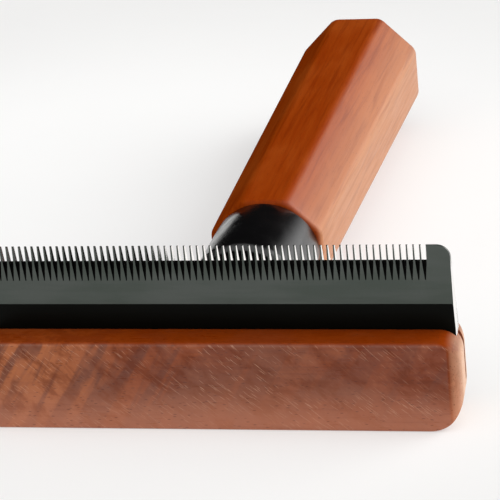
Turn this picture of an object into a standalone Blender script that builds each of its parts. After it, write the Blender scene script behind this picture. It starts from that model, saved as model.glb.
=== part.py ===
"""Fine-tooth deshedding comb: a wooden head bar with a steel comb, on an octagonal wooden handle.

It lies on its back with the teeth up. X runs along the comb, Y runs back along the handle and Z is up.
The origin is the middle of the footprint, on the surface that the comb lies on. Lengths are metres.
"""

import math

import bmesh
import bpy
from mathutils import Matrix, Vector

MM = 0.001
FIT_GAP = 0.30 * MM             # clearance between pieces that touch

# Comb
TOOTH_PITCH = 1.00 * MM
GAP_COUNT = 67                  # gaps between teeth, one of them on the middle plane
END_LAND = 3.9 * MM             # solid end of the comb beyond its last gap
COMB_LENGTH = (GAP_COUNT - 1) * TOOTH_PITCH + 2 * END_LAND
TIP_Z = 28.3 * MM
SHOULDER_Z = 18.8 * MM          # where the comb meets its holder
TIP_THICKNESS = 0.28 * MM
SHOULDER_THICKNESS = 2.5 * MM
GAP_DEPTH_FRONT = 5.8 * MM      # from the tips down to the gap's floor, on the front face
GAP_DEPTH_BACK = 2.7 * MM       # and on the back face: the floor slopes up to the back
GAP_FLOOR_WIDTH = 0.24 * MM
GAP_MOUTH_WIDTH = 0.76 * MM
END_CORNER_RADIUS = 2.0 * MM
TONGUE_THICKNESS = 0.6 * MM
TONGUE_DEPTH = 2.7 * MM
RIVET_RADIUS = 0.7 * MM
RIVET_X = [-30.0 * MM, -10.0 * MM, 10.0 * MM, 30.0 * MM]

# Head bar
BAR_LENGTH = COMB_LENGTH + 2.0 * MM
BAR_DEPTH = 11.2 * MM
BAR_HEIGHT = 14.4 * MM
BAR_LOW_CORNER = 5.5 * MM       # radius at the ends, seen from the front
BAR_HIGH_CORNER = 3.4 * MM
BAR_EDGE_RADIUS = 0.9 * MM      # along the front and back edges
BAR_END_ROUND = 1.4 * MM        # how far the ends bulge, seen from above
BAR_FRONT_ROUND = 3.4 * MM      # depth over which they round off to the front face
BAR_BACK_ROUND = 2.2 * MM       # and to the back face
HOLDER_FRONT = 5.7 * MM         # from the bar's front face to the holder's front face
HOLDER_THICKNESS = 2.8 * MM
HOLDER_BOTTOM_Z = 4.5 * MM
UNDERCUT = 0.7 * MM             # how far the comb's face stands in front of the holder's
COMB_FRONT = HOLDER_FRONT - UNDERCUT
TONGUE_FRONT = HOLDER_FRONT + 0.8 * MM
BAR_SCREW_X = [-32.0 * MM, -20.0 * MM, 20.0 * MM, 32.0 * MM]
BAR_SCREW_Z = 8.0 * MM

# Handle
AXIS_Z = 11.0 * MM
HANDLE_START = 43.0 * MM        # from the bar's front face
HANDLE_LENGTH = 92.0 * MM
NECK_END_FLATS = 18.8 * MM      # across the octagon's flats
BUTT_FLATS = 2 * AXIS_Z         # so that the butt rests on the surface
SIDES = 8
HANDLE_EDGE_WIDTH = 0.5 * MM
BUTT_EDGE_RADIUS = 1.8 * MM
FRONT_CHAMFER = 0.7 * MM
SPIGOT_RADIUS = 7.3 * MM
FERRULE_RADIUS = 9.1 * MM
FERRULE_START = 25.0 * MM
FERRULE_END_WALL = 1.6 * MM
FERRULE_CHAMFER = 0.7 * MM

# Neck, its foot and what joins it
NECK_RADIUS = 6.0 * MM
FOOT_WIDTH = 26.0 * MM
FOOT_BOTTOM_Z = 4.5 * MM
FOOT_BACK = 13.2 * MM           # from the bar's front face
TANG_RADIUS = 3.0 * MM
TANG_END = 64.0 * MM
NECK_SCREW_X = [-9.0 * MM, 9.0 * MM]
INSERT_RADIUS = 4.5 * MM
INSERT_LENGTH = 15.0 * MM

TOTAL_DEPTH = HANDLE_START + HANDLE_LENGTH
BAR_FRONT_Y = -TOTAL_DEPTH / 2
ROUND_SEGMENTS = 40
SMALL_SEGMENTS = 20

# colour, roughness, metallic
FINISHES = {
    "oiled_wood": ((0.30, 0.10, 0.035, 1), 0.45, 0.0),
    "black_steel": ((0.016, 0.017, 0.016, 1), 0.38, 0.6),
    "black_gloss": ((0.010, 0.010, 0.011, 1), 0.18, 0.4),
    "plain_steel": ((0.55, 0.55, 0.54, 1), 0.30, 1.0),
    "brass": ((0.62, 0.44, 0.17, 1), 0.35, 1.0),
}


def from_front(depth):
    """World Y of a plane that lies this far behind the bar's front face."""
    return BAR_FRONT_Y + depth


def clear_scene():
    for thing in list(bpy.data.objects):
        bpy.data.objects.remove(thing, do_unlink=True)


def make_finishes():
    materials = {}
    for name, (colour, roughness, metallic) in FINISHES.items():
        material = bpy.data.materials.new(name)
        material.use_nodes = True
        shader = material.node_tree.nodes["Principled BSDF"]
        shader.inputs["Base Color"].default_value = colour
        shader.inputs["Roughness"].default_value = roughness
        shader.inputs["Metallic"].default_value = metallic
        material.diffuse_color = colour
        materials[name] = material
    return materials


def to_object(name, mesh_editor, material=None, smooth_angle=None):
    bmesh.ops.recalc_face_normals(mesh_editor, faces=mesh_editor.faces)
    mesh = bpy.data.meshes.new(name)
    mesh_editor.to_mesh(mesh)
    mesh_editor.free()
    thing = bpy.data.objects.new(name, mesh)
    bpy.context.scene.collection.objects.link(thing)
    if material:
        mesh.materials.append(material)
    if smooth_angle:
        mesh.shade_smooth()
        mesh.set_sharp_from_angle(angle=math.radians(smooth_angle))
    return thing


def loft(rings):
    """Closed body through rings of points: neighbouring rings are bridged, the ends are capped."""
    editor = bmesh.new()
    rows = [[editor.verts.new(point) for point in ring] for ring in rings]
    count = len(rows[0])
    for near, far in zip(rows, rows[1:]):
        for i in range(count):
            j = (i + 1) % count
            editor.faces.new((near[i], near[j], far[j], far[i]))
    editor.faces.new(rows[0])
    editor.faces.new(list(reversed(rows[-1])))
    return editor


def circle_ring(radius, y, z=AXIS_Z, x=0.0, segments=ROUND_SEGMENTS):
    """Circle about an axis along Y."""
    turn = 2 * math.pi / segments
    return [
        Vector((x + radius * math.cos(turn * i), y, z + radius * math.sin(turn * i)))
        for i in range(segments)
    ]


def turned(profile, z=AXIS_Z, x=0.0, segments=ROUND_SEGMENTS):
    """Body turned about an axis along Y, from (radius, depth behind the bar's front) pairs."""
    return loft([circle_ring(r, from_front(depth), z, x, segments) for r, depth in profile])


def box(low, high):
    editor = bmesh.new()
    bmesh.ops.create_cube(editor, size=1.0)
    low = Vector(low)
    high = Vector(high)
    size = high - low
    bmesh.ops.transform(
        editor,
        matrix=Matrix.Translation((low + high) / 2) @ Matrix.Diagonal((*size, 1.0)),
        verts=editor.verts,
    )
    return editor


def cut(target, name, editor, operation="DIFFERENCE"):
    """Adds a Boolean to target, with a hidden cutter made from editor."""
    cutter = to_object(name, editor)
    cutter.hide_render = True
    cutter.display_type = "WIRE"
    modifier = target.modifiers.new(name, "BOOLEAN")
    modifier.operation = operation
    modifier.solver = "EXACT"
    modifier.object = cutter


def bar_outline(half_length, inset, steps=8):
    """Bar's outline in X and Z, drawn in by inset along its top and bottom."""
    low = BAR_LOW_CORNER - inset
    high = BAR_HIGH_CORNER - inset
    corners = [
        (half_length - low, inset + low, low, -90),
        (half_length - high, BAR_HEIGHT - inset - high, high, 0),
        (-half_length + high, BAR_HEIGHT - inset - high, high, 90),
        (-half_length + low, inset + low, low, 180),
    ]
    points = []
    for x, z, radius, start in corners:
        for i in range(steps + 1):
            angle = math.radians(start + 90 * i / steps)
            points.append((x + radius * math.cos(angle), z + radius * math.sin(angle)))
    return points


def draw_in(distance, run, amount):
    """How far a surface is drawn in at this distance from an edge that is rounded over run."""
    left = max(0.0, 1 - distance / run)
    return amount * (1 - math.sqrt(1 - left ** 2))


def bar_ring(depth, edge_distance, end_run):
    half_length = BAR_LENGTH / 2 - draw_in(edge_distance, end_run, BAR_END_ROUND)
    inset = draw_in(edge_distance, BAR_EDGE_RADIUS, BAR_EDGE_RADIUS)
    return [Vector((x, from_front(depth), z)) for x, z in bar_outline(half_length, inset)]


def make_head_bar(material):
    rings = []
    shares = [0.0, 0.02, 0.07, 0.15, 0.27, 0.42, 0.62, 1.0]
    for share in shares:
        distance = share * BAR_FRONT_ROUND
        rings.append(bar_ring(distance, distance, BAR_FRONT_ROUND))
    for share in reversed(shares):
        distance = share * BAR_BACK_ROUND
        rings.append(bar_ring(BAR_DEPTH - distance, distance, BAR_BACK_ROUND))
    bar = to_object("head_bar", loft(rings), material, 40)
    slot_front = from_front(HOLDER_FRONT - FIT_GAP)
    slot_back = from_front(HOLDER_FRONT + HOLDER_THICKNESS + FIT_GAP)
    cut(bar, "bar_slot", box(
        (-BAR_LENGTH, slot_front, HOLDER_BOTTOM_Z - FIT_GAP),
        (BAR_LENGTH, slot_back, 2 * BAR_HEIGHT),
    ))
    half_foot = FOOT_WIDTH / 2 + FIT_GAP
    cut(bar, "foot_notch", box(
        (-half_foot, slot_back - FIT_GAP, FOOT_BOTTOM_Z - FIT_GAP),
        (half_foot, from_front(2 * BAR_DEPTH), 2 * BAR_HEIGHT),
    ))
    for number, x in enumerate(BAR_SCREW_X, 1):
        cut(bar, f"bar_screw_hole_{number}", bar_screw_body(x, FIT_GAP))
    return bar


def comb_back_depth(z):
    """Depth of the comb's back face at a height: the comb thins evenly to its tips."""
    share = (TIP_Z - z) / (TIP_Z - SHOULDER_Z)
    thickness = TIP_THICKNESS + share * (SHOULDER_THICKNESS - TIP_THICKNESS)
    return COMB_FRONT + thickness


def comb_gap_body(x):
    """Cutter for one gap: narrow at its floor, wide at its mouth, with a floor that rises to the back."""
    slope_run = comb_back_depth(TIP_Z - GAP_DEPTH_BACK) - COMB_FRONT
    front = COMB_FRONT - 0.5 * MM
    back = COMB_FRONT + 1.8 * slope_run
    rise = (GAP_DEPTH_FRONT - GAP_DEPTH_BACK) / slope_run
    top = TIP_Z + 0.5 * MM
    spread = (GAP_MOUTH_WIDTH - GAP_FLOOR_WIDTH) / GAP_DEPTH_FRONT
    editor_rings = []
    for depth in (front, back):
        floor = TIP_Z - GAP_DEPTH_FRONT + rise * (depth - COMB_FRONT)
        floor_half = GAP_FLOOR_WIDTH / 2
        mouth_half = floor_half + spread * (top - floor) / 2
        y = from_front(depth)
        editor_rings.append([
            Vector((x - floor_half, y, floor)),
            Vector((x + floor_half, y, floor)),
            Vector((x + mouth_half, y, top)),
            Vector((x - mouth_half, y, top)),
        ])
    return loft(editor_rings)


def make_comb(material):
    half = COMB_LENGTH / 2
    base = SHOULDER_Z + FIT_GAP / 2
    steps = 6
    outline = [(half, base), (half, TIP_Z - END_CORNER_RADIUS)]
    for i in range(1, steps + 1):
        angle = math.radians(90 * i / steps)
        outline.append((
            half - END_CORNER_RADIUS * (1 - math.cos(angle)),
            TIP_Z - END_CORNER_RADIUS * (1 - math.sin(angle)),
        ))
    outline += [(-x, z) for x, z in reversed(outline)]
    front = [Vector((x, from_front(COMB_FRONT), z)) for x, z in outline]
    back = [Vector((x, from_front(comb_back_depth(z)), z)) for x, z in outline]
    comb = to_object("comb_blade", loft([front, back]), material)
    gaps = bmesh.new()
    for i in range(GAP_COUNT):
        x = (i - (GAP_COUNT - 1) / 2) * TOOTH_PITCH
        one = comb_gap_body(x)
        mesh = bpy.data.meshes.new("one_gap")
        one.to_mesh(mesh)
        one.free()
        gaps.from_mesh(mesh)
        bpy.data.meshes.remove(mesh)
    cut(comb, "comb_gaps", gaps)
    tongue = box(
        (-half + END_LAND, from_front(TONGUE_FRONT), SHOULDER_Z - TONGUE_DEPTH),
        (half - END_LAND, from_front(TONGUE_FRONT + TONGUE_THICKNESS), SHOULDER_Z + 0.6 * MM),
    )
    cut(comb, "comb_tongue", tongue, "UNION")
    for number, x in enumerate(RIVET_X, 1):
        cut(comb, f"comb_rivet_hole_{number}", rivet_body(x, FIT_GAP))
    return comb


def make_holder(material):
    half = COMB_LENGTH / 2
    top = SHOULDER_Z - FIT_GAP / 2
    back = HOLDER_FRONT + HOLDER_THICKNESS
    profile = [
        (HOLDER_FRONT, HOLDER_BOTTOM_Z),
        (back, HOLDER_BOTTOM_Z),
        (back, BAR_HEIGHT),
        (comb_back_depth(top) + 0.1 * MM, top),
        (COMB_FRONT, top),
        (HOLDER_FRONT, BAR_HEIGHT),
    ]
    rings = [[Vector((x, from_front(depth), z)) for depth, z in profile] for x in (-half, half)]
    holder = to_object("blade_holder", loft(rings), material)
    cut(holder, "holder_groove", box(
        (-half + END_LAND - FIT_GAP, from_front(TONGUE_FRONT - FIT_GAP),
         SHOULDER_Z - TONGUE_DEPTH - FIT_GAP),
        (half - END_LAND + FIT_GAP, from_front(TONGUE_FRONT + TONGUE_THICKNESS + FIT_GAP), TIP_Z),
    ))
    for number, x in enumerate(RIVET_X, 1):
        cut(holder, f"holder_rivet_hole_{number}", rivet_body(x, FIT_GAP))
    for number, x in enumerate(BAR_SCREW_X, 1):
        cut(holder, f"holder_screw_hole_{number}", bar_screw_body(x, FIT_GAP))
    for number, x in enumerate(NECK_SCREW_X, 1):
        cut(holder, f"holder_neck_hole_{number}", neck_screw_body(x, FIT_GAP))
    return holder


def rivet_body(x, gap=0.0):
    """A plain rivet through the holder's back wall and the comb's tongue."""
    z = SHOULDER_Z - 1.6 * MM
    front = TONGUE_FRONT - 0.1 * MM
    back = HOLDER_FRONT + HOLDER_THICKNESS
    end = back + (2.0 * MM if gap else 0.0)
    return turned([(RIVET_RADIUS + gap, front - gap), (RIVET_RADIUS + gap, end)],
                  z, x, SMALL_SEGMENTS)


def bar_screw_body(x, gap=0.0):
    """Countersunk wood screw from the bar's back, through the holder into the bar's front half."""
    shank = 1.2 * MM
    head = 2.3 * MM
    back = BAR_DEPTH - 0.1 * MM
    end = back + (2.0 * MM if gap else 0.0)
    profile = [
        (0.5 * MM + gap, 2.0 * MM - gap),
        (shank + gap, 3.4 * MM - gap),
        (shank + gap, back - 1.5 * MM - gap),
        (head + gap, back - 0.3 * MM - gap),
        (head + gap, end),
    ]
    return turned(profile, BAR_SCREW_Z, x, SMALL_SEGMENTS)


def neck_screw_body(x, gap=0.0):
    """Countersunk machine screw from the holder's front face into the neck's foot."""
    shank = 1.4 * MM
    head = 2.5 * MM
    front = HOLDER_FRONT + 0.1 * MM
    start = front - (2.0 * MM if gap else 0.0)
    profile = [
        (head + gap, start),
        (head + gap, front + 0.3 * MM + gap),
        (shank + gap, front + 1.4 * MM + gap),
        (shank + gap, FOOT_BACK - 0.8 * MM + gap),
    ]
    return turned(profile, BAR_SCREW_Z, x, SMALL_SEGMENTS)


def add_slot_groove(screw, x, depth, name):
    """Driver slot across a screw's head."""
    reach = 4.0 * MM
    half_width = 0.35 * MM
    cut(screw, name, box(
        (x - reach, from_front(depth - 0.5 * MM), BAR_SCREW_Z - half_width),
        (x + reach, from_front(depth + 0.5 * MM), BAR_SCREW_Z + half_width),
    ))


def make_fasteners(materials):
    steel = materials["plain_steel"]
    for number, x in enumerate(RIVET_X, 1):
        to_object(f"comb_rivet_{number}", rivet_body(x), steel, 40)
    for number, x in enumerate(BAR_SCREW_X, 1):
        screw = to_object(f"bar_screw_{number}", bar_screw_body(x), steel, 40)
        add_slot_groove(screw, x, BAR_DEPTH, f"bar_screw_driver_slot_{number}")
    for number, x in enumerate(NECK_SCREW_X, 1):
        screw = to_object(f"neck_screw_{number}", neck_screw_body(x), steel, 40)
        add_slot_groove(screw, x, HOLDER_FRONT, f"neck_screw_driver_slot_{number}")


def make_neck(material):
    foot_front = HOLDER_FRONT + HOLDER_THICKNESS + FIT_GAP
    neck = to_object("neck_shank", turned([
        (NECK_RADIUS, foot_front + 0.4 * MM),
        (NECK_RADIUS, FERRULE_START + FERRULE_END_WALL - 0.2 * MM),
        (NECK_RADIUS - 0.4 * MM, FERRULE_START + FERRULE_END_WALL),
        (TANG_RADIUS, FERRULE_START + FERRULE_END_WALL),
        (TANG_RADIUS, TANG_END - 1.0 * MM),
        (TANG_RADIUS - 1.0 * MM, TANG_END),
    ]), material, 40)
    half = FOOT_WIDTH / 2
    foot = box(
        (-half, from_front(foot_front), FOOT_BOTTOM_Z),
        (half, from_front(FOOT_BACK), BAR_HEIGHT - FIT_GAP),
    )
    cut(neck, "neck_foot", foot, "UNION")
    for number, x in enumerate(NECK_SCREW_X, 1):
        cut(neck, f"foot_screw_hole_{number}", neck_screw_body(x, FIT_GAP))
    return neck


def make_ferrule(material):
    start = FERRULE_START
    end = HANDLE_START - FIT_GAP
    ferrule = to_object("ferrule", turned([
        (FERRULE_RADIUS - FERRULE_CHAMFER, start),
        (FERRULE_RADIUS, start + FERRULE_CHAMFER),
        (FERRULE_RADIUS, end - 0.2 * MM),
        (FERRULE_RADIUS - 0.2 * MM, end),
    ]), material, 40)
    inner = SPIGOT_RADIUS + FIT_GAP
    hole = NECK_RADIUS + FIT_GAP
    cut(ferrule, "ferrule_bore", turned([
        (hole, start - 1.0 * MM),
        (hole, start + FERRULE_END_WALL),
        (inner, start + FERRULE_END_WALL),
        (inner, end + 1.0 * MM),
    ]))
    return ferrule


def octagon_ring(flats, depth, edge_width, scale=1.0):
    """Octagon with its edges cut flat by edge_width, in the plane at this depth."""
    apothem = flats / 2 * scale
    corner = apothem / math.cos(math.pi / SIDES)
    half_side = apothem * math.tan(math.pi / SIDES)
    trim = edge_width / 2 / half_side
    points = []
    for i in range(SIDES):
        angles = [math.pi / SIDES * (2 * i + side) for side in (-1, 1)]
        ends = [Vector((corner * math.cos(a), 0.0, corner * math.sin(a))) for a in angles]
        for share in (trim, 1 - trim):
            point = ends[0].lerp(ends[1], share)
            points.append(Vector((point.x, from_front(depth), AXIS_Z + point.z)))
    return points


def handle_flats(depth):
    """Width across the flats: the handle flares evenly from the neck to the butt."""
    share = (depth - HANDLE_START) / (HANDLE_LENGTH - BUTT_EDGE_RADIUS)
    return NECK_END_FLATS + share * (BUTT_FLATS - NECK_END_FLATS)


def make_handle(material):
    end = HANDLE_START + HANDLE_LENGTH
    rings = []
    chamfer_flats = handle_flats(HANDLE_START) - 2 * FRONT_CHAMFER
    rings.append(octagon_ring(chamfer_flats, HANDLE_START, HANDLE_EDGE_WIDTH))
    body_start = HANDLE_START + FRONT_CHAMFER
    body_end = end - BUTT_EDGE_RADIUS
    for depth in (body_start, body_end):
        rings.append(octagon_ring(handle_flats(depth), depth, HANDLE_EDGE_WIDTH))
    steps = 5
    for i in range(1, steps + 1):
        angle = math.radians(90 * i / steps)
        inset = BUTT_EDGE_RADIUS * (1 - math.cos(angle))
        depth = body_end + BUTT_EDGE_RADIUS * math.sin(angle)
        rings.append(octagon_ring(handle_flats(body_end) - 2 * inset, depth, HANDLE_EDGE_WIDTH))
    handle = to_object("handle_grip", loft(rings), material, 25)
    spigot_start = FERRULE_START + FERRULE_END_WALL + FIT_GAP
    cut(handle, "handle_spigot", turned([
        (SPIGOT_RADIUS, spigot_start),
        (SPIGOT_RADIUS, HANDLE_START + 2.0 * MM),
    ]), "UNION")
    insert_end = spigot_start + INSERT_LENGTH + FIT_GAP
    cut(handle, "handle_bore", turned([
        (INSERT_RADIUS + FIT_GAP, spigot_start - 1.0 * MM),
        (INSERT_RADIUS + FIT_GAP, insert_end),
        (TANG_RADIUS + FIT_GAP, insert_end),
        (TANG_RADIUS + FIT_GAP, TANG_END + 3.0 * MM),
    ]))
    return handle


def make_insert(material):
    start = FERRULE_START + FERRULE_END_WALL + FIT_GAP
    insert = to_object("handle_insert", turned([
        (INSERT_RADIUS, start),
        (INSERT_RADIUS, start + INSERT_LENGTH),
    ]), material, 40)
    cut(insert, "insert_bore", turned([
        (TANG_RADIUS + FIT_GAP, start - 1.0 * MM),
        (TANG_RADIUS + FIT_GAP, start + INSERT_LENGTH + 1.0 * MM),
    ]))
    return insert


def main():
    clear_scene()
    materials = make_finishes()
    make_head_bar(materials["oiled_wood"])
    make_comb(materials["black_steel"])
    make_holder(materials["black_steel"])
    make_neck(materials["black_gloss"])
    make_ferrule(materials["black_gloss"])
    make_handle(materials["oiled_wood"])
    make_insert(materials["brass"])
    make_fasteners(materials)
    bpy.context.view_layer.update()


main()
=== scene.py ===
"""Looks for the fine-tooth deshedding comb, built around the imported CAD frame. Lengths are metres."""

import math

import bmesh
import bpy
from mathutils import Matrix, Vector


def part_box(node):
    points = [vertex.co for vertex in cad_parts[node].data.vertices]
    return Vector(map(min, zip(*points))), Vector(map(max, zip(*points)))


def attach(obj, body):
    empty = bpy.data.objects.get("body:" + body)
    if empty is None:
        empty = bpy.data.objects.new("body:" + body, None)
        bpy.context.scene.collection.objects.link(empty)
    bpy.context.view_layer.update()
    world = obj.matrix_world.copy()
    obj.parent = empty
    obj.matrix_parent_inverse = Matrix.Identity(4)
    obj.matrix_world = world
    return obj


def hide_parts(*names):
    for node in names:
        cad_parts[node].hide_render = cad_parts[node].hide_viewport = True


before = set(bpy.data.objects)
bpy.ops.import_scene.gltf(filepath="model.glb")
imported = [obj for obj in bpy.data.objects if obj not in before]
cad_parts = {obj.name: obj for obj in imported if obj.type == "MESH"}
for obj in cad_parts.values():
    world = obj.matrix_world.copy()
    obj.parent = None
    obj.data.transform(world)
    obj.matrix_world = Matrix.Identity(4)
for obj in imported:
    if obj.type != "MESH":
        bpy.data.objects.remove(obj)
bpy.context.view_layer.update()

MM = 0.001

# ---------------------------------------------------------------- places, from the CAD frame
BAR_LOW, BAR_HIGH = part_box("head_bar")
COMB_LOW, COMB_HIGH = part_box("comb_blade")
HOLDER_LOW, HOLDER_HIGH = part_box("blade_holder")
FERRULE_LOW, FERRULE_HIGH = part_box("ferrule")
HANDLE_LOW, HANDLE_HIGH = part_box("handle_grip")
NECK_LOW, NECK_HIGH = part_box("neck_shank")

CREASE_LIFT = 0.15 * MM              # how far above the CAD's holder the comb starts
HANDLE_JOINT = 0.3 * MM              # the line between the ferrule and the handle

TIP_Z = COMB_HIGH.z
SHOULDER_Z = HOLDER_HIGH.z + CREASE_LIFT
COMB_DEPTH = TIP_Z - SHOULDER_Z
COMB_FRONT_Y = COMB_LOW.y
COMB_HALF = COMB_HIGH.x
AXIS_Z = (FERRULE_LOW.z + FERRULE_HIGH.z) / 2
HANDLE_START_Y = FERRULE_HIGH.y + HANDLE_JOINT

# ---------------------------------------------------------------- comb
PITCH = 1.00 * MM
GAPS = 67
TIP_THICKNESS = 0.28 * MM
SHOULDER_THICKNESS = 2.5 * MM
GAP_BOTTOM = 5.6 * MM                # depth of a gap on the front face
GAP_EXIT = 2.7 * MM                  # depth at which its sloping floor meets the back face
GAP_BEND = 2.9 * MM                  # the gap's sides open more slowly above this depth
GAP_HALF_BOTTOM = 0.08 * MM
GAP_HALF_BEND = 0.350 * MM
GAP_HALF_MOUTH = 0.395 * MM
GAP_HALF_EXIT = 0.28 * MM
GAP_HALF_MOUTH_BACK = 0.33 * MM
LAND_CORNER = 2.0 * MM
WEAR_START = 1.6 * MM                # the end faces turn from black to steel between these depths
WEAR_END = 4.6 * MM

# ---------------------------------------------------------------- holder
UNDERCUT = 0.7 * MM                  # how far the comb's face stands in front of the holder's
HOLDER_GAP = 0.02 * MM               # between the holder's top and the comb
HOLDER_BACK_STEP = 0.1 * MM          # how far its top stands out behind the comb
HOLDER_EDGE = 0.06 * MM

# ---------------------------------------------------------------- bar
BAR_LOW_CORNERS = (3.2 * MM, 5.0 * MM)  # lower radii of the left and the right end
BAR_HIGH_CORNER = 3.4 * MM
BAR_EDGE = 0.8 * MM
BAR_FRONT_LOW_EDGE = 0.35 * MM
BAR_STATIONS = (8 * MM, 16 * MM, 26 * MM)  # sections between the ends' curves and the middle
BAR_END_ROUND = 1.9 * MM             # how far the ends bulge, seen from above
BAR_FRONT_ROUND = 3.4 * MM
BAR_BACK_ROUND = 1.4 * MM
FRONT_CROWN = 0.45 * MM              # how far the front face bulges between its edges
END_SKEW = 0.095                     # how much shorter the bar gets per depth, behind its middle
END_STOP = 0.9 * MM                  # the slot is narrower this close to the ends
STOP_WIDTH = 1.6 * MM
SKEW_RUN = 5.0 * MM                  # the ends lean only this close to them
SKEW_START = 4.5 * MM                # and only this far behind the front face
SLOT_PLAY = 0.08 * MM
LIP = 0.18 * MM                      # rounding of the slot's upper edges
SLOT_SILL = 0.3 * MM                 # wood left under the slot where the ends curve up
SCREW_HEAD_PLAY = 0.12 * MM
SCREW_SHANK_HOLE = 1.35 * MM
SCREW_CONE_DEPTH = 1.6 * MM
SCREW_RECESS = 0.4 * MM
OVERRUN = 5 * MM                     # how far a cut goes past the surface it opens

# ---------------------------------------------------------------- ferrule, neck and handle
FERRULE_HOLE = 6.25 * MM
FERRULE_BORE = 7.5 * MM
FERRULE_WALL = 1.6 * MM              # its front wall
FERRULE_FRONT_EDGE = 1.5 * MM
FERRULE_FINE_EDGE = 0.2 * MM
NECK_RADIUS = 6.0 * MM
NECK_FLARE = 1.6 * MM
TANG_RADIUS = 3.0 * MM
TANG_START = 1.5 * MM                # behind the ferrule's front, as are the next two
SPIGOT_START = 1.9 * MM
TANG_BORE_END = 17.2 * MM
FOOT_HALF = 13.0 * MM
FOOT_THICKNESS = 4.4 * MM
FOOT_BOTTOM = 4.5 * MM
FOOT_BELOW_TOP = 0.3 * MM            # how far the foot's top is below the bar's
FOOT_EDGE = 0.5 * MM
FOOT_PLAY = 0.3 * MM                 # between the foot and its notch in the bar
NECK_END_FLATS = 18.8 * MM           # across the handle's flats at the ferrule
HANDLE_CHAMFER = 1.0 * MM
BUTT_ROUND = 2.4 * MM
HANDLE_CORNER = 2.3 * MM             # rounding of its long edges
SPIGOT_RADIUS = 7.3 * MM
TANG_BORE = 4.8 * MM

# ---------------------------------------------------------------- camera
AZIMUTH = math.radians(14.2)
ELEVATION = math.radians(22.12)
ROLL = math.radians(-5.72)
LENS = 201.27
SENSOR = 36
CAMERA_PLACE = Vector((101.86, -438.41, 185.25)) * MM

# ---------------------------------------------------------------- table
FLOOR_SIZE = 4.0
FLOOR_DROP = 0.02 * MM               # keeps the table just under the parts that rest on it
# the table glows evenly; towards the object the glow grows, a painted pool of light that lifts the
# shadows around it
LIGHT_POOL_OFFSET = (30 * MM, -10 * MM, 0)
LIGHT_POOL_REACH = (65 * MM, 150 * MM)     # the glow falls off between these distances
GLOW_AND_LIGHT_POOL_STRENGTH = (0.43, 0.325)

# ---------------------------------------------------------------- soft lights
# each: direction, wide and narrow angle in degrees, value beyond the wide and within the narrow one
SURROUND = 0.30
OVERHEAD = ((0.1, -0.55, 0.83), 60, 25, 0.0, 1.25)
RIGHT_SIDE = ((0.9, 0.25, 0.36), 45, 15, 0.0, 4.0)
FAR_RIGHT = ((0.55, 0.80, 0.23), 34, 12, 0.0, 1.1)
# darkens the sum of the others
BACK_FLAG = ((-0.25, 0.85, 0.45), 45, 28, 1.0, 0.03)

# ---------------------------------------------------------------- shared colours
STEEL_WHITE = (0.93, 0.91, 0.89)
COATING_BLACK = (0.080, 0.090, 0.082)


# ================================================================ meshes
def add_object(name, mesh):
    thing = bpy.data.objects.new(name, mesh)
    bpy.context.scene.collection.objects.link(thing)
    return thing


def smooth_by_angle(mesh, sharp_angle=30.0):
    """Shades a mesh smooth, except across edges sharper than this many degrees."""
    mesh.shade_smooth()
    mesh.set_sharp_from_angle(angle=math.radians(sharp_angle))


def finish_mesh(editor, name, sharp_angle=30.0):
    """Turns a bmesh into a mesh with joined points and outward normals."""
    bmesh.ops.remove_doubles(editor, verts=editor.verts, dist=1e-7)
    bmesh.ops.recalc_face_normals(editor, faces=editor.faces)
    mesh = bpy.data.meshes.new(name)
    editor.to_mesh(mesh)
    editor.free()
    smooth_by_angle(mesh, sharp_angle)
    return mesh


def loft(rings, capped=True):
    """Body through rings of points, with neighbouring rings bridged."""
    editor = bmesh.new()
    rows = [[editor.verts.new(point) for point in ring] for ring in rings]
    count = len(rows[0])
    for near, far in zip(rows, rows[1:]):
        for i in range(count):
            j = (i + 1) % count
            editor.faces.new((near[i], near[j], far[j], far[i]))
    if capped:
        editor.faces.new(rows[0])
        editor.faces.new(list(reversed(rows[-1])))
    return editor


def turned(profile, x=0.0, z=AXIS_Z, segments=128, capped=True):
    """Body turned about an axis along Y, from (radius, y) pairs."""
    rings = []
    for radius, y in profile:
        ring = []
        for i in range(segments):
            angle = 2 * math.pi * i / segments
            ring.append(Vector((x + radius * math.cos(angle), y, z + radius * math.sin(angle))))
        rings.append(ring)
    return loft(rings, capped)


def fillet(centre, radius, start, end, steps=8):
    """Points of an arc, as (first, second) pairs, between two angles in degrees."""
    points = []
    for i in range(steps + 1):
        angle = math.radians(start + (end - start) * i / steps)
        points.append((centre[0] + radius * math.cos(angle), centre[1] + radius * math.sin(angle)))
    return points


def block(low, high):
    """Box between two corners."""
    editor = bmesh.new()
    bmesh.ops.create_cube(editor, size=1.0)
    low = Vector(low)
    high = Vector(high)
    matrix = Matrix.Translation((low + high) / 2) @ Matrix.Diagonal((*(high - low), 1.0))
    bmesh.ops.transform(editor, matrix=matrix, verts=editor.verts)
    return editor


def apply_modifiers(thing):
    """Bakes the modifiers into the mesh, so that only plain meshes are left."""
    bpy.context.view_layer.update()
    graph = bpy.context.evaluated_depsgraph_get()
    mesh = bpy.data.meshes.new_from_object(thing.evaluated_get(graph), depsgraph=graph)
    old = thing.data
    thing.modifiers.clear()
    thing.data = mesh
    bpy.data.meshes.remove(old)


def boolean(thing, editor, operation="DIFFERENCE"):
    """Cuts the editor's mesh out of an object, or joins it on."""
    tool = add_object("tool", finish_mesh(editor, "tool"))
    modifier = thing.modifiers.new("tool", "BOOLEAN")
    modifier.operation = operation
    modifier.solver = "EXACT"
    modifier.object = tool
    apply_modifiers(thing)
    mesh = tool.data
    bpy.data.objects.remove(tool)
    bpy.data.meshes.remove(mesh)


def soften(thing, width, segments=2, limit=50.0):
    """Rounds every edge sharper than the limit."""
    modifier = thing.modifiers.new("soften", "BEVEL")
    modifier.width = width
    modifier.segments = segments
    modifier.limit_method = "ANGLE"
    modifier.angle_limit = math.radians(limit)
    modifier.harden_normals = False
    apply_modifiers(thing)
    smooth_by_angle(thing.data)


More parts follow.
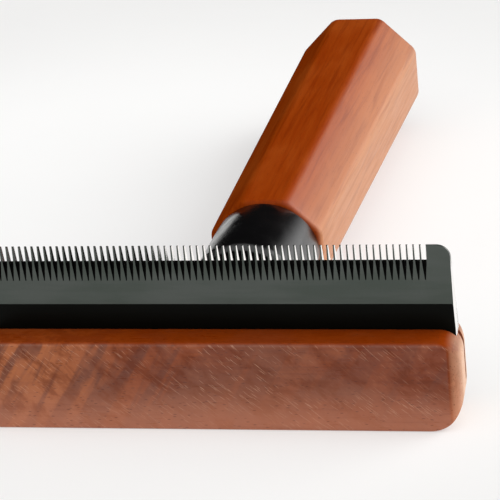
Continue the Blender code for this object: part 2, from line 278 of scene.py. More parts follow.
# ---------------------------------------------------------------- comb
def back_y(depth):
    """Y of the comb's back face at a depth below the tips."""
    share = depth / COMB_DEPTH
    return COMB_FRONT_Y + TIP_THICKNESS + share * (SHOULDER_THICKNESS - TIP_THICKNESS)


class CombMesh:
    """Builds the comb face by face, from points on its front and back faces.

    Each point is an x and a depth below the tips.
    """

    COATED = 0
    BARE = 1
    DARK = 2
    WORN = 3

    def __init__(self):
        self.editor = bmesh.new()

    def front(self, x, depth):
        return self.editor.verts.new((x, COMB_FRONT_Y, TIP_Z - depth))

    def back(self, x, depth):
        return self.editor.verts.new((x, back_y(depth), TIP_Z - depth))

    def face(self, points, finish=COATED):
        made = self.editor.faces.new(points)
        made.material_index = finish
        return made

    def gap(self, x):
        """One gap: its floor, its two flanks and the steel below it."""
        for side in (-1, 1):
            bottom = self.front(x + side * GAP_HALF_BOTTOM, GAP_BOTTOM)
            bend = self.front(x + side * GAP_HALF_BEND, GAP_BEND)
            mouth = self.front(x + side * GAP_HALF_MOUTH, 0)
            way_out = self.back(x + side * GAP_HALF_EXIT, GAP_EXIT)
            mouth_back = self.back(x + side * GAP_HALF_MOUTH_BACK, 0)
            self.face([bottom, way_out, bend], self.DARK)
            self.face([bend, way_out, mouth_back, mouth], self.BARE)
        self.face([
            self.front(x - GAP_HALF_BOTTOM, GAP_BOTTOM), self.front(x + GAP_HALF_BOTTOM, GAP_BOTTOM),
            self.back(x + GAP_HALF_EXIT, GAP_EXIT), self.back(x - GAP_HALF_EXIT, GAP_EXIT),
        ], self.DARK)
        for point, low, half in ((self.front, GAP_BOTTOM, GAP_HALF_BOTTOM),
                                 (self.back, GAP_EXIT, GAP_HALF_EXIT)):
            self.face([
                point(x - half, low), point(x + half, low),
                point(x + GAP_HALF_BOTTOM, COMB_DEPTH), point(x - GAP_HALF_BOTTOM, COMB_DEPTH),
            ])
        self.base_strip(x - GAP_HALF_BOTTOM, x + GAP_HALF_BOTTOM)

    def base_strip(self, left, right):
        """Part of the comb's underside."""
        self.face([self.front(left, COMB_DEPTH), self.front(right, COMB_DEPTH),
                   self.back(right, COMB_DEPTH), self.back(left, COMB_DEPTH)])

    def tooth(self, left_gap, right_gap):
        """Front, back and tip of the tooth between two gaps' middles."""
        left = left_gap + GAP_HALF_BOTTOM
        right = right_gap - GAP_HALF_BOTTOM
        self.face([
            self.front(left_gap + GAP_HALF_MOUTH, 0), self.front(right_gap - GAP_HALF_MOUTH, 0),
            self.front(right_gap - GAP_HALF_BEND, GAP_BEND), self.front(right, GAP_BOTTOM),
            self.front(right, COMB_DEPTH), self.front(left, COMB_DEPTH),
            self.front(left, GAP_BOTTOM), self.front(left_gap + GAP_HALF_BEND, GAP_BEND),
        ])
        self.face([
            self.back(left_gap + GAP_HALF_MOUTH_BACK, 0),
            self.back(right_gap - GAP_HALF_MOUTH_BACK, 0),
            self.back(right_gap - GAP_HALF_EXIT, GAP_EXIT),
            self.back(right, COMB_DEPTH), self.back(left, COMB_DEPTH),
            self.back(left_gap + GAP_HALF_EXIT, GAP_EXIT),
        ])
        self.face([
            self.front(left_gap + GAP_HALF_MOUTH, 0), self.front(right_gap - GAP_HALF_MOUTH, 0),
            self.back(right_gap - GAP_HALF_MOUTH_BACK, 0),
            self.back(left_gap + GAP_HALF_MOUTH_BACK, 0),
        ], self.BARE)
        self.base_strip(left, right)

    def land(self, side, gap_x):
        """Solid end of the comb, with its rounded corner."""
        arc = fillet((COMB_HALF - LAND_CORNER, LAND_CORNER), LAND_CORNER, -90, 0, 12)
        edge = [(side * x, depth) for x, depth in arc + [(COMB_HALF, COMB_DEPTH)]]
        mouth = gap_x + side * GAP_HALF_MOUTH
        mouth_back = gap_x + side * GAP_HALF_MOUTH_BACK
        foot = gap_x + side * GAP_HALF_BOTTOM
        self.face([self.front(*point) for point in edge] + [
            self.front(foot, COMB_DEPTH), self.front(foot, GAP_BOTTOM),
            self.front(gap_x + side * GAP_HALF_BEND, GAP_BEND), self.front(mouth, 0),
        ])
        self.face([self.back(*point) for point in edge] + [
            self.back(foot, COMB_DEPTH), self.back(gap_x + side * GAP_HALF_EXIT, GAP_EXIT),
            self.back(mouth_back, 0),
        ])
        self.face([self.front(mouth, 0), self.front(*edge[0]),
                   self.back(*edge[0]), self.back(mouth_back, 0)])
        for near, far in zip(edge, edge[1:]):
            self.face([self.front(*near), self.front(*far), self.back(*far), self.back(*near)],
                      self.WORN)
        self.base_strip(min(foot, side * COMB_HALF), max(foot, side * COMB_HALF))


def make_comb():
    comb = CombMesh()
    middles = [(i - (GAPS - 1) / 2) * PITCH for i in range(GAPS)]
    for x in middles:
        comb.gap(x)
    for left, right in zip(middles, middles[1:]):
        comb.tooth(left, right)
    comb.land(-1, middles[0])
    comb.land(1, middles[-1])
    return add_object("comb_steel", finish_mesh(comb.editor, "comb_steel", 25))


# ---------------------------------------------------------------- holder
def make_holder():
    """A plate that widens forwards at its top, to meet the comb."""
    back = HOLDER_HIGH.y
    low = HOLDER_LOW.z
    top = SHOULDER_Z - HOLDER_GAP
    under = BAR_HIGH.z
    face_front = COMB_FRONT_Y + UNDERCUT
    profile = [
        (face_front, low), (back, low), (back, under),
        (back_y(TIP_Z - top) + HOLDER_BACK_STEP, top), (COMB_FRONT_Y, top), (face_front, under),
    ]
    rings = [[Vector((x, y, z)) for y, z in profile] for x in (-COMB_HALF, COMB_HALF)]
    holder = add_object("holder_steel", finish_mesh(loft(rings), "holder_steel"))
    soften(holder, HOLDER_EDGE, segments=2, limit=20)
    for face in holder.data.polygons:
        at_end = abs(face.normal.x) > 0.6
        face.material_index = 1 if at_end else 0
    return holder


# ---------------------------------------------------------------- bar
def draw_in(distance, run, amount):
    """How far a surface is drawn in at this distance from an edge that is rounded over run."""
    left = max(0.0, 1 - distance / run)
    return amount * (1 - math.sqrt(max(0.0, 1 - left ** 2)))


def bar_section(distance, low_corner):
    """U-shaped section of the bar at a distance from its end, as (y, z) pairs."""
    low = draw_in(distance, low_corner, low_corner)
    high = BAR_HIGH.z - draw_in(distance, BAR_HIGH_CORNER, BAR_HIGH_CORNER)
    front = BAR_LOW.y + draw_in(distance, BAR_END_ROUND, BAR_FRONT_ROUND)
    back = BAR_HIGH.y - draw_in(distance, BAR_END_ROUND, BAR_BACK_ROUND)
    slot_front = HOLDER_LOW.y + UNDERCUT - SLOT_PLAY
    if distance < END_STOP:
        slot_front += STOP_WIDTH
    slot_back = HOLDER_HIGH.y + SLOT_PLAY
    slot_floor = max(HOLDER_LOW.z - SLOT_PLAY, low + SLOT_SILL)
    r = BAR_EDGE
    crown = FRONT_CROWN * (high - low) / BAR_HIGH.z
    points = fillet((slot_front - LIP, high - LIP), LIP, 0, 90, 4)
    points += fillet((front + r, high - r), r, 90, 180, 8)
    steps = 16
    small = BAR_FRONT_LOW_EDGE
    for i in range(1, steps):
        share = i / steps
        bulge = crown * (1 - (2 * share - 1) ** 2)
        points.append((front - bulge, high - r + (low + small - high + r) * share))
    points += fillet((front + small, low + small), small, 180, 270, 6)
    points += fillet((back - r, low + r), r, 270, 360, 8)
    points += fillet((back - r, high - r), r, 0, 90, 8)
    points += fillet((slot_back + LIP, high - LIP), LIP, 90, 180, 4)
    points += [(slot_back, slot_floor), (slot_front, slot_floor)]
    return points


def bar_ring(side, distance, low_corner):
    """One section in place. Near the ends it leans, so that the bar is shorter at the back."""
    skew = END_SKEW * max(0.0, 1 - distance / SKEW_RUN)
    ring = []
    for y, z in bar_section(distance, low_corner):
        behind = max(0.0, y - BAR_LOW.y - SKEW_START)
        ring.append(Vector((side * (BAR_HIGH.x - distance - skew * behind), y, z)))
    return ring


def screw_hole(screw):
    """Countersunk hole through the bar's back wall, for one of the frame's wood screws."""
    low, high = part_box(screw)
    head_radius = (high.x - low.x) / 2 + SCREW_HEAD_PLAY
    middle = (low + high) / 2
    profile = [
        (SCREW_SHANK_HOLE, HOLDER_HIGH.y - 0.1 * MM),
        (SCREW_SHANK_HOLE, high.y - SCREW_CONE_DEPTH),
        (head_radius, high.y - SCREW_RECESS),
        (head_radius, BAR_HIGH.y + OVERRUN),
    ]
    return turned(profile, middle.x, middle.z, 64)


def make_bar():
    """The bar is lofted from end to end; its rings are close together where the ends curve."""
    rings = []
    for side, low_corner in zip((-1, 1), BAR_LOW_CORNERS):
        distances = {0.0, END_STOP, END_STOP + 0.02 * MM, *BAR_STATIONS}
        for reach, steps in ((BAR_END_ROUND, 12), (BAR_HIGH_CORNER, 12), (low_corner, 16)):
            for i in range(1, steps + 1):
                distances.add(round(reach * (1 - math.cos(math.pi / 2 * i / steps)), 7))
        end = [bar_ring(side, distance, low_corner) for distance in sorted(distances)]
        rings += end if side < 0 else reversed(end)
    bar = add_object("bar_wood", finish_mesh(loft(rings), "bar_wood"))
    notch_half = FOOT_HALF + FOOT_PLAY
    boolean(bar, block((-notch_half, HOLDER_HIGH.y - 0.2 * MM, HOLDER_LOW.z - FOOT_PLAY),
                       (notch_half, BAR_HIGH.y + OVERRUN, BAR_HIGH.z + OVERRUN)))
    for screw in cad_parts:
        if screw.startswith("bar_screw"):
            boolean(bar, screw_hole(screw))
    smooth_by_angle(bar.data)
    return bar


# ---------------------------------------------------------------- ferrule and neck
def make_ferrule():
    """A cup with a hole in its front wall, turned from a closed profile."""
    outer = (FERRULE_HIGH.x - FERRULE_LOW.x) / 2
    start = FERRULE_LOW.y
    end = FERRULE_HIGH.y
    wall_end = start + FERRULE_WALL
    r = FERRULE_FRONT_EDGE
    small = FERRULE_FINE_EDGE
    profile = [(FERRULE_HOLE, start + small), (FERRULE_HOLE + small, start)]
    profile += fillet((outer - r, start + r), r, -90, 0, 10)
    profile += fillet((outer - small, end - small), small, 0, 90, 4)
    profile += [(FERRULE_BORE, end), (FERRULE_BORE, wall_end), (FERRULE_HOLE, wall_end)]
    body = turned(profile + profile[:1], segments=160, capped=False)
    return add_object("ferrule_gloss", finish_mesh(body, "ferrule_gloss"))


def make_neck():
    """A round neck that flares out onto a rectangular foot, with a thinner tang behind."""
    foot_front = NECK_LOW.y
    foot_back = foot_front + FOOT_THICKNESS
    foot_top = BAR_HIGH.z - FOOT_BELOW_TOP
    tang_start = FERRULE_LOW.y + TANG_START
    wide = NECK_RADIUS + NECK_FLARE
    profile = [(NECK_RADIUS - 0.2 * MM, foot_front + 0.5 * MM), (wide, foot_back - 0.6 * MM)]
    profile += fillet((wide, foot_back + NECK_FLARE), NECK_FLARE, 270, 180, 10)
    profile += [(NECK_RADIUS, tang_start), (TANG_RADIUS, tang_start), (TANG_RADIUS, NECK_HIGH.y)]
    neck = add_object("neck_steel", finish_mesh(turned(profile, segments=96), "neck_steel"))
    plate = block((-FOOT_HALF, foot_front, FOOT_BOTTOM), (FOOT_HALF, foot_back, foot_top))
    foot = add_object("foot", finish_mesh(plate, "foot"))
    soften(foot, FOOT_EDGE, segments=4)
    editor = bmesh.new()
    editor.from_mesh(foot.data)
    bpy.data.objects.remove(foot)
    boolean(neck, editor, "UNION")
    smooth_by_angle(neck.data, 35)
    return neck


# ---------------------------------------------------------------- handle
def octagon(flats, y, corner):
    """Octagon with rounded corners, in the plane at y."""
    apothem = flats / 2
    half_turn = math.pi / 8
    reach = (apothem - corner) / math.cos(half_turn)
    points = []
    steps = 6
    for i in range(8):
        middle = half_turn * (2 * i + 1)
        cx = reach * math.cos(middle)
        cz = reach * math.sin(middle)
        for k in range(steps + 1):
            angle = middle + half_turn * (2 * k / steps - 1)
            points.append(Vector((cx + corner * math.cos(angle), y,
                                  AXIS_Z + cz + corner * math.sin(angle))))
    return points


def make_handle():
    """Octagonal grip that widens to its butt, with a round spigot in front and a bore for the tang."""
    start = HANDLE_START_Y
    butt_flats = HANDLE_HIGH.z - HANDLE_LOW.z
    body_end = HANDLE_HIGH.y - BUTT_ROUND
    body_steps = 20
    front_steps = 4
    butt_steps = 9
    rings = []

    def flats(y):
        share = (y - start) / (body_end - start)
        return NECK_END_FLATS + (butt_flats - NECK_END_FLATS) * share

    for i in range(front_steps + 1):
        angle = math.pi / 2 * i / front_steps
        inset = HANDLE_CHAMFER * (1 - math.sin(angle))
        y = start + HANDLE_CHAMFER * (1 - math.cos(angle))
        rings.append(octagon(NECK_END_FLATS - 2 * inset, y, HANDLE_CORNER))
    for i in range(1, body_steps + 1):
        y = start + HANDLE_CHAMFER + (body_end - start - HANDLE_CHAMFER) * i / body_steps
        rings.append(octagon(flats(y), y, HANDLE_CORNER))
    for i in range(1, butt_steps + 1):
        angle = math.pi / 2 * i / butt_steps
        inset = BUTT_ROUND * (1 - math.cos(angle))
        y = body_end + BUTT_ROUND * math.sin(angle)
        rings.append(octagon(butt_flats - 2 * inset, y, HANDLE_CORNER))
    handle = add_object("handle_wood", finish_mesh(loft(rings), "handle_wood"))
    spigot_start = FERRULE_LOW.y + SPIGOT_START
    bore_end = FERRULE_LOW.y + TANG_BORE_END
    boolean(handle, turned([(SPIGOT_RADIUS, spigot_start), (SPIGOT_RADIUS, start + 2 * MM)]),
            "UNION")
    boolean(handle, turned([(TANG_BORE, FERRULE_LOW.y), (TANG_BORE, bore_end)], segments=64))
    smooth_by_angle(handle.data)
    return handle


# ================================================================ materials
def feed(tree, socket, value):
    """Links an output to a socket, or sets the socket to a plain value."""
    if isinstance(value, bpy.types.NodeSocket):
        tree.links.new(value, socket)
    else:
        socket.default_value = value


def add_maths(tree, operation, first, second):
    made = tree.nodes.new("ShaderNodeMath")
    made.operation = operation
    feed(tree, made.inputs[0], first)
    feed(tree, made.inputs[1], second)
    return made.outputs["Value"]


def opaque(colour):
    """Adds alpha to a plain colour, and leaves a node's output as it is."""
    return colour if isinstance(colour, bpy.types.NodeSocket) else (*colour, 1)


class Finish:
    """A node material: a Principled shader and short ways to add nodes to it."""

    def __init__(self, name, colour, roughness, metallic=0.0):
        self.material = bpy.data.materials.new(name)
        self.material.use_nodes = True
        self.tree = self.material.node_tree
        self.shader = self.tree.nodes["Principled BSDF"]
        self.shader.inputs["Base Color"].default_value = (*colour, 1)
        self.shader.inputs["Roughness"].default_value = roughness
        self.shader.inputs["Metallic"].default_value = metallic
        self.place = self.tree.nodes.new("ShaderNodeTexCoord").outputs["Object"]

    def node(self, kind, values=(), **settings):
        made = self.tree.nodes.new(kind)
        for key, value in settings.items():
            setattr(made, key, value)
        for key, value in dict(values).items():
            feed(self.tree, made.inputs[key], value)
        return made

    def link(self, output, name):
        self.tree.links.new(output, self.shader.inputs[name])

    def mapped(self, scale, turn=(0, 0, 0)):
        """Object coordinates in millimetres, turned and then stretched."""
        turned_place = self.node("ShaderNodeMapping", {
            "Vector": self.place,
            "Rotation": [math.radians(a) for a in turn],
            "Scale": (1000, 1000, 1000),
        }).outputs["Vector"]
        return self.node("ShaderNodeMapping", {
            "Vector": turned_place, "Scale": scale,
        }).outputs["Vector"]

    def axes(self):
        """Object coordinates in metres, one socket each."""
        return self.node("ShaderNodeSeparateXYZ", {"Vector": self.place}).outputs

    def facing(self):
        """The surface's own direction, split into X, Y and Z."""
        normal = self.node("ShaderNodeTexCoord").outputs["Normal"]
        return self.node("ShaderNodeSeparateXYZ", {"Vector": normal}).outputs

    def noise(self, place, scale=1.0, detail=4.0, roughness=0.55, distortion=0.0):
        return self.node("ShaderNodeTexNoise", {
            "Vector": place, "Scale": scale, "Detail": detail,
            "Roughness": roughness, "Distortion": distortion,
        }).outputs["Fac"]

    def spread(self, value, low, high, to_low=0.0, to_high=1.0):
        """Runs smoothly from to_low to to_high while the value goes from low to high."""
        return self.node("ShaderNodeMapRange", {
            "Value": value, "From Min": low, "From Max": high,
            "To Min": to_low, "To Max": to_high,
        }, interpolation_type="SMOOTHSTEP").outputs["Result"]

    def maths(self, operation, first, second):
        return add_maths(self.tree, operation, first, second)

    def mix(self, share, first, second, blend="MIX"):
        """Mixes two colours. Sockets 6 and 7 and output 2 are the mix node's colour ones."""
        return self.node("ShaderNodeMix", {
            0: share, 6: opaque(first), 7: opaque(second),
        }, data_type="RGBA", blend_type=blend).outputs[2]

    def bump(self, height, strength, distance):
        made = self.node("ShaderNodeBump", {
            "Height": height, "Strength": strength, "Distance": distance,
        })
        self.link(made.outputs["Normal"], "Normal")


# slope in degrees, spacing and length in millimetres, and width as a share of the spacing
SCRATCH_LAYERS = (
    (-41, 0.60, 28, 0.060),
    (-37, 0.50, 18, 0.060),
    (-45, 0.80, 42, 0.050),
    (-39, 0.55, 10, 0.075),
    (-44, 0.45, 8, 0.080),
)


def scratches(finish, turn, spacing, length, width, seed):
    """Thin straight marks on a face across Y: 1 on a mark and 0 elsewhere."""
    split = finish.node("ShaderNodeSeparateXYZ", {
        "Vector": finish.mapped((1 / length, 1, 1 / spacing), (0, turn, 0)),
    })
    flat = finish.node("ShaderNodeCombineXYZ", {
        "X": finish.maths("ADD", split.outputs["X"], seed * 7.31),
        "Y": finish.maths("ADD", split.outputs["Z"], seed * 3.17),
    }).outputs["Vector"]
    distance = finish.node("ShaderNodeTexVoronoi", {
        "Vector": flat, "Scale": 1.0, "Randomness": 1.0,
    }, feature="F1", voronoi_dimensions="2D").outputs["Distance"]
    return finish.spread(distance, width * 0.5, width, 1.0, 0.0)


def add_scratches(wood, colour):
    """Light slanting marks on the bar's front, thicker in some patches than in others."""
    marks = 0.0
    for seed, (turn, spacing, length, width) in enumerate(SCRATCH_LAYERS, 1):
        marks = wood.maths("MAXIMUM", marks, scratches(wood, turn, spacing, length, width, seed))
    patch = wood.noise(wood.mapped((0.07, 0.07, 0.12)), 1.0, 2, 0.5)
    marks = wood.maths("MULTIPLY", marks, wood.spread(patch, 0.38, 0.58, 0.05, 0.42))
    front = wood.spread(wood.facing()["Y"], -0.60, -0.85)
    marks = wood.maths("MULTIPLY", marks, front)
    return wood.mix(marks, colour, (0.66, 0.38, 0.25)), marks


def add_pores(wood, colour, stretch, depth):
    """Small dark pores, stretched along the grain."""
    cells = wood.node("ShaderNodeTexVoronoi", {
        "Vector": wood.mapped(stretch), "Scale": 1.0,
    }, feature="F1").outputs["Distance"]
    pores = wood.spread(cells, 0.10, 0.22, depth, 0.0)
    return wood.mix(pores, colour, (0.07, 0.012, 0.004)), pores


def bar_colour(wood, fibre, mottle, upward, outward):
    """The bar's wood colour, built up from its browns to its paler and darker parts, with painted shade
    on top and painted light on the ends.
    """
    x, y, z = wood.axes()
    figure = wood.noise(wood.mapped((0.34, 0.30, 0.040), (0, -32, 0)), 1.0, 3, 0.55, 0.3)
    cloud = wood.noise(wood.mapped((0.05, 0.05, 0.10)), 1.0, 3, 0.5)
    colour = wood.mix(wood.spread(fibre, 0.35, 0.68), (0.190, 0.033, 0.0028),
                      (0.225, 0.044, 0.0045))
    pale_left = wood.spread(x, -10 * MM, -27 * MM, 0.0, 0.78)
    colour = wood.mix(pale_left, colour, (0.37, 0.108, 0.030))
    deep_right = wood.spread(x, 12 * MM, 33 * MM, 0.0, 0.65)
    colour = wood.mix(deep_right, colour, (0.145, 0.022, 0.0015))
    bands = wood.maths("MULTIPLY", wood.spread(figure, 0.44, 0.58, 0.0, 0.78),
                       wood.spread(x, 2 * MM, -12 * MM, 0.50, 1.0))
    colour = wood.mix(bands, colour, (0.105, 0.024, 0.010))
    dark_patches = wood.spread(mottle, 0.46, 0.64, 0.0, 0.60)
    colour = wood.mix(dark_patches, colour, (0.115, 0.018, 0.002))
    light_patches = wood.spread(mottle, 0.46, 0.32, 0.0, 0.35)
    colour = wood.mix(light_patches, colour, (0.29, 0.085, 0.032))
    greyish_clouds = wood.spread(cloud, 0.48, 0.64, 0.0, 0.35)
    colour = wood.mix(greyish_clouds, colour, (0.17, 0.062, 0.034))
    # paler towards the bottom
    paler_towards_bottom = wood.spread(z, 9.5 * MM, 0.0, 0.0, 0.72)
    colour = wood.mix(paler_towards_bottom, colour, (0.42, 0.145, 0.075))
    # painted shade: faces that look up turn darker and more saturated
    shaded_top = wood.spread(upward, 0.6, 0.95, 0.0, 0.75)
    colour = wood.mix(shaded_top, colour, (0.195, 0.026, 0.0008))
    # painted light: the ends turn pale tan as if lit from the side, most near the front and least on
    # the top corners
    painted_end_light = wood.maths("MULTIPLY", wood.spread(outward, 0.30, 0.80),
                           wood.spread(y, BAR_LOW.y, BAR_LOW.y + 4.5 * MM, 0.25, 0.95))
    painted_end_light = wood.maths("MULTIPLY", painted_end_light, wood.spread(upward, 0.05, 0.6, 1.0, 0.35))
    colour = wood.mix(painted_end_light, colour, (0.55, 0.330, 0.210))
    grain = wood.noise(wood.mapped((0.035, 1.2, 1.2)), 1.0, 6, 0.65, 0.6)
    return wood.mix(wood.spread(grain, 0.48, 0.70, 0.0, 0.40), colour, (0.70, 0.60, 0.54),
                    "MULTIPLY")


def make_bar_wood():
    """Oiled reddish hardwood with steep dark figure on the left, paler low on the front, painted shade
    on its top and painted light on its ends.
    """
    wood = Finish("bar_wood", (0.21, 0.040, 0.004), 0.32)
    upward = wood.facing()["Z"]
    outward = wood.maths("ABSOLUTE", wood.facing()["X"], 0.0)
    mottle = wood.noise(wood.mapped((0.16, 0.40, 0.36), (0, -38, 0)), 1.0, 5, 0.65, 0.4)
    fibre = wood.noise(wood.mapped((0.10, 1, 1)), 2.2, 6, 0.6)
    colour = bar_colour(wood, fibre, mottle, upward, outward)
    colour, pores = add_pores(wood, colour, (0.6, 2.2, 2.2), 0.55)
    colour, marks = add_scratches(wood, colour)
    wood.link(colour, "Base Color")
    gloss = wood.maths("MULTIPLY", wood.spread(upward, 0.5, 0.95, 0.44, 0.10),
                       wood.spread(outward, 0.08, 0.5, 1.0, 0.15))
    gloss = wood.maths("MULTIPLY", gloss, wood.spread(mottle, 0.46, 0.62, 1.0, 0.62))
    wood.link(gloss, "Specular IOR Level")
    wood.link(wood.spread(fibre, 0.3, 0.7, 0.27, 0.38), "Roughness")
    height = wood.maths("SUBTRACT", wood.maths("MULTIPLY", fibre, 0.4),
                        wood.maths("MULTIPLY", marks, 0.5))
    height = wood.maths("SUBTRACT", height, wood.maths("MULTIPLY", pores, 0.4))
    wood.bump(height, 0.25, 0.05 * MM)
    return wood.material


def make_handle_wood():
    """The same wood with a calm grain, duller on its left-hand facets, with painted light making the
    right-hand ones paler.
    """
    wood = Finish("handle_wood", (0.24, 0.036, 0.003), 0.4)
    facing = wood.facing()["X"]
    x = wood.axes()["X"]
    fibre = wood.noise(wood.mapped((1, 0.05, 1)), 1.6, 5, 0.6)
    cloud = wood.noise(wood.mapped((0.09, 0.035, 0.09)), 1.0, 3, 0.5)
    colour = wood.mix(wood.spread(fibre, 0.30, 0.72), (0.212, 0.026, 0.0010),
                      (0.240, 0.036, 0.0020))
    colour = wood.mix(wood.spread(cloud, 0.45, 0.62, 0.0, 0.6), colour, (0.29, 0.054, 0.006))
    # painted light: facets that face right, on the right half, turn paler as if lit from the right
    paler = wood.maths("MULTIPLY", wood.spread(facing, 0.15, 1.05),
                       wood.spread(x, 2 * MM, 10.5 * MM, 0.0, 0.95))
    colour = wood.mix(paler, colour, (0.40, 0.160, 0.062))
    grain = wood.noise(wood.mapped((1.4, 0.035, 1.4)), 1.0, 6, 0.65, 0.6)
    colour = wood.mix(wood.spread(grain, 0.46, 0.68, 0.0, 0.60), colour, (0.66, 0.54, 0.46),
                      "MULTIPLY")
    colour, pores = add_pores(wood, colour, (2.6, 0.4, 2.6), 0.25)
    wood.link(colour, "Base Color")
    wood.link(wood.spread(facing, -0.20, 0.75, 0.0, 0.30), "Specular IOR Level")
    wood.link(wood.spread(fibre, 0.3, 0.7, 0.34, 0.44), "Roughness")
    height = wood.maths("SUBTRACT", wood.maths("MULTIPLY", fibre, 0.4),
                        wood.maths("MULTIPLY", pores, 0.4))
    wood.bump(height, 0.2, 0.05 * MM)
    return wood.material


def make_coating():
    """Black oxide on ground steel: satin, with faint grinding lines along X."""
    coat = Finish("black_coating", COATING_BLACK, 0.36, 1.0)
    lines = coat.noise(coat.mapped((0.02, 1, 1)), 3.0, 5, 0.6)
    cloud = coat.noise(coat.mapped((0.06, 0.3, 0.3)), 1.0, 3, 0.5)
    colour = coat.mix(coat.spread(cloud, 0.35, 0.65), (0.070, 0.082, 0.072),
                      (0.088, 0.098, 0.090))
    coat.link(colour, "Base Color")
    coat.link(coat.spread(lines, 0.3, 0.7, 0.32, 0.42), "Roughness")
    coat.bump(lines, 0.12, 0.01 * MM)
    return coat.material


def make_dark_paint():
    """Black paint on the holder, which gives back very little light."""
    paint = Finish("dark_paint", (0.0014, 0.0016, 0.0010), 0.42)
    paint.shader.inputs["Specular IOR Level"].default_value = 0.05
    lines = paint.noise(paint.mapped((0.03, 1, 1)), 2.0, 4, 0.6)
    paint.link(paint.spread(lines, 0.3, 0.7, 0.36, 0.50), "Roughness")
    paint.bump(lines, 0.10, 0.01 * MM)
    return paint.material


def make_gap_finish():
    """Black inside the gaps between the teeth."""
    dark = Finish("gap_black", (0.0018, 0.0018, 0.0016), 0.6)
    dark.shader.inputs["Specular IOR Level"].default_value = 0.05
    grain = dark.noise(dark.mapped((1, 1, 1)), 3.0, 3, 0.6)
    dark.link(dark.spread(grain, 0.3, 0.7, 0.5, 0.7), "Roughness")
    return dark.material


def make_bare_steel():
    """Bright ground steel."""
    steel = Finish("bare_steel", STEEL_WHITE, 0.1, 1.0)
    lines = steel.noise(steel.mapped((1, 1, 0.1)), 4.0, 4, 0.6)
    steel.link(steel.spread(lines, 0.3, 0.7, 0.06, 0.14), "Roughness")
    steel.bump(lines, 0.05, 0.01 * MM)
    return steel.material


def make_worn_end():
    """The comb's end faces: still black at the top corner, worn bright towards the bar."""
    steel = Finish("worn_steel", (0.5, 0.5, 0.5), 0.1, 1.0)
    height = steel.axes()["Z"]
    chips = steel.noise(steel.mapped((1, 1, 0.5)), 1.5, 4, 0.6)
    wear = steel.spread(height, TIP_Z - WEAR_START, TIP_Z - WEAR_END)
    wear = steel.maths("ADD", wear, steel.spread(chips, 0.4, 0.7, 0.0, 0.15))
    steel.link(steel.mix(wear, COATING_BLACK, STEEL_WHITE), "Base Color")
    steel.link(steel.spread(wear, 0.0, 1.0, 0.36, 0.1), "Roughness")
    return steel.material


def make_black_gloss():
    """Gloss black of the ferrule and the neck."""
    gloss = Finish("black_gloss", (0.0022, 0.0020, 0.0022), 0.16)
    cloud = gloss.noise(gloss.mapped((0.3, 0.3, 0.3)), 1.0, 4, 0.5)
    gloss.link(gloss.spread(cloud, 0.3, 0.7, 0.14, 0.24), "Roughness")
    gloss.bump(cloud, 0.05, 0.02 * MM)
    return gloss.material


def make_screw_steel():
    """Plain steel of the screws and rivets."""
    steel = Finish("screw_steel", (0.56, 0.55, 0.53), 0.28, 1.0)
    cloud = steel.noise(steel.mapped((1, 1, 1)), 2.0, 4, 0.6)
    steel.link(steel.spread(cloud, 0.3, 0.7, 0.22, 0.36), "Roughness")
    return steel.material


def make_brass():
    """Brass of the handle's insert."""
    brass = Finish("brass", (0.62, 0.44, 0.17), 0.35, 1.0)
    cloud = brass.noise(brass.mapped((1, 1, 1)), 1.0, 4, 0.6)
    brass.link(brass.spread(cloud, 0.3, 0.7, 0.28, 0.42), "Roughness")
    return brass.material


def make_table():
    """Pale matt table with a soft even glow, which grows around the object as a painted pool of light.
    """
    table = Finish("white_table", (0.46, 0.46, 0.46), 0.6)
    table.shader.inputs["Emission Color"].default_value = (1.0, 1.0, 1.0, 1)
    # painted pool of light: the glow rises towards a point near the object
    centred = table.node("ShaderNodeVectorMath", {
        0: table.place, 1: LIGHT_POOL_OFFSET,
    }, operation="ADD").outputs["Vector"]
    away = table.node("ShaderNodeVectorMath", {0: centred}, operation="LENGTH").outputs["Value"]
    table.link(table.spread(away, *LIGHT_POOL_REACH, *GLOW_AND_LIGHT_POOL_STRENGTH), "Emission Strength")
    cloud = table.noise(table.mapped((0.02, 0.02, 0.02)), 1.0, 4, 0.6)
    colour = table.mix(cloud, (0.452, 0.448, 0.441), (0.477, 0.473, 0.466))
    table.link(colour, "Base Color")
    return table.material


def dress(thing, *materials):
    """Gives an object its materials. Each face keeps its material number."""
    slots = thing.data.materials
    for index, material in enumerate(materials):
        if index < len(slots):
            slots[index] = material
        else:
            slots.append(material)


# ================================================================ stage
def make_camera():
    """The view: azimuth and elevation of the line of sight, with a small roll."""
    level = math.cos(ELEVATION)
    ahead = Vector((-math.sin(AZIMUTH) * level, math.cos(AZIMUTH) * level, -math.sin(ELEVATION)))
    right = Vector((math.cos(AZIMUTH), math.sin(AZIMUTH), 0))
    up = right.cross(ahead)
    rolled_right = right * math.cos(ROLL) + up * math.sin(ROLL)
    rolled_up = up * math.cos(ROLL) - right * math.sin(ROLL)
    data = bpy.data.cameras.new("camera")
    data.sensor_width = SENSOR
    data.lens = LENS
    data.clip_start = 0.01
    data.clip_end = 50
    camera = bpy.data.objects.new("camera", data)
    bpy.context.scene.collection.objects.link(camera)
    matrix = Matrix((rolled_right, rolled_up, -ahead)).transposed().to_4x4()
    matrix.translation = CAMERA_PLACE
    camera.matrix_world = matrix
    bpy.context.scene.camera = camera


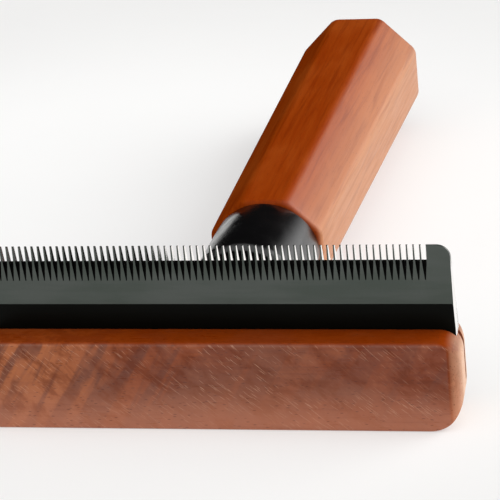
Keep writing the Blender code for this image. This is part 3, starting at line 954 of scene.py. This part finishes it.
def lobe(tree, direction, towards, wide, narrow, to_wide, to_narrow):
    """to_narrow within the narrow angle of a direction, to_wide beyond the wide one."""
    dot = tree.nodes.new("ShaderNodeVectorMath")
    dot.operation = "DOT_PRODUCT"
    feed(tree, dot.inputs[0], direction)
    feed(tree, dot.inputs[1], Vector(towards).normalized())
    ramp = tree.nodes.new("ShaderNodeMapRange")
    ramp.interpolation_type = "SMOOTHSTEP"
    feed(tree, ramp.inputs["Value"], dot.outputs["Value"])
    feed(tree, ramp.inputs["From Min"], math.cos(math.radians(wide)))
    feed(tree, ramp.inputs["From Max"], math.cos(math.radians(narrow)))
    feed(tree, ramp.inputs["To Min"], to_wide)
    feed(tree, ramp.inputs["To Max"], to_narrow)
    return ramp.outputs["Result"]


def make_world():
    """Soft plain surround, brighter overhead and on the right, with a dark patch at the back."""
    world = bpy.data.worlds.new("studio")
    bpy.context.scene.world = world
    world.use_nodes = True
    tree = world.node_tree
    background = tree.nodes["Background"]
    direction = tree.nodes.new("ShaderNodeTexCoord").outputs["Generated"]
    total = SURROUND
    for light in (FAR_RIGHT, OVERHEAD, RIGHT_SIDE):
        total = add_maths(tree, "ADD", total, lobe(tree, direction, *light))
    total = add_maths(tree, "MULTIPLY", total, lobe(tree, direction, *BACK_FLAG))
    tree.links.new(total, background.inputs["Strength"])
    background.inputs["Color"].default_value = (1, 1, 1, 1)


def make_floor(material):
    """The table that the object lies on."""
    editor = bmesh.new()
    bmesh.ops.create_grid(editor, x_segments=8, y_segments=8, size=FLOOR_SIZE)
    floor = add_object("floor", finish_mesh(editor, "floor"))
    floor.location.z = -FLOOR_DROP
    dress(floor, material)


def stand_in(piece, node, slot, *materials):
    """Puts a finished piece on the frame in the place of one of its nodes."""
    dress(piece, *materials)
    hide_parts(node)
    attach(piece, "root")


def main():
    make_camera()
    make_world()
    bpy.context.scene.view_settings.view_transform = "Standard"
    bare = make_bare_steel()
    gloss = make_black_gloss()
    steel = make_screw_steel()
    brass = make_brass()

    stand_in(make_comb(), "comb_blade", "black_steel",
             make_coating(), bare, make_gap_finish(), make_worn_end())
    stand_in(make_holder(), "blade_holder", "black_steel", make_dark_paint(), bare)
    stand_in(make_bar(), "head_bar", "oiled_wood", make_bar_wood())
    stand_in(make_ferrule(), "ferrule", "black_gloss", gloss)
    stand_in(make_neck(), "neck_shank", "black_gloss", gloss)
    stand_in(make_handle(), "handle_grip", "oiled_wood", make_handle_wood())

    for name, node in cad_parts.items():
        if "screw" in name or "rivet" in name:
            dress(node, steel)
        if name == "handle_insert":
            dress(node, brass)
    make_floor(make_table())


main()
